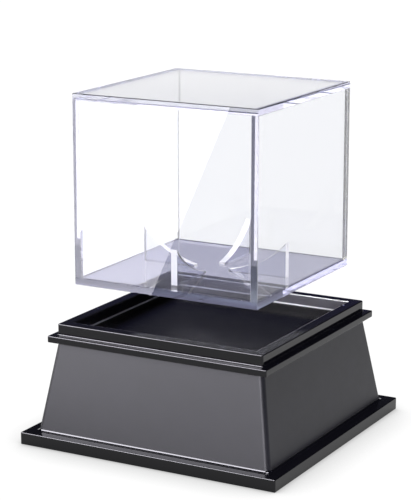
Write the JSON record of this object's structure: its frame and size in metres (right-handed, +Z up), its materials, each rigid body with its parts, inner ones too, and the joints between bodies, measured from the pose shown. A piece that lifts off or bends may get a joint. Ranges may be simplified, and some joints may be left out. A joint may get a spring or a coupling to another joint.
{
  "type": "display cube",
  "caption": "Clear acrylic cube with curved fins that cradle a ball, standing raised over the recess of a stepped, tapered black plinth.",
  "frame": {"origin": "centre of the underside of the plinth's foot plate", "axes": "+Z up, X along the front of the plinth, -Y is the front"},
  "size_m": [0.124, 0.124, 0.153],
  "materials": {
    "clear_acrylic": "clear cast acrylic sheet with flame-polished edges",
    "black_acrylic": "opaque black acrylic, high gloss, with fine polished edges"
  },
  "bodies": {
    "plinth": {"foot_plate": "black_acrylic", "plinth_wall_front": "black_acrylic", "plinth_wall_right": "black_acrylic", "plinth_wall_back": "black_acrylic", "plinth_wall_left": "black_acrylic", "lip_plate": "black_acrylic", "rim_strip_front": "black_acrylic", "rim_strip_right": "black_acrylic", "rim_strip_back": "black_acrylic", "rim_strip_left": "black_acrylic"},
    "cradle": {"floor_plate": "clear_acrylic", "cradle_fin_front": "clear_acrylic", "cradle_fin_right": "clear_acrylic", "cradle_fin_back": "clear_acrylic", "cradle_fin_left": "clear_acrylic"},
    "cover": {"case_wall_front": "clear_acrylic", "case_wall_right": "clear_acrylic", "case_wall_back": "clear_acrylic", "case_wall_left": "clear_acrylic", "top_panel": "clear_acrylic"}
  },
  "joints": [
    {"name": "cube_lift", "type": "slide", "parent": "plinth", "child": "cradle", "axis": [0, 0, 1], "range_m": [-0.022, 0]},
    {"name": "cover_lift", "type": "slide", "parent": "cradle", "child": "cover", "axis": [0, 0, 1], "range_m": [0, 0.025]}
  ]
}
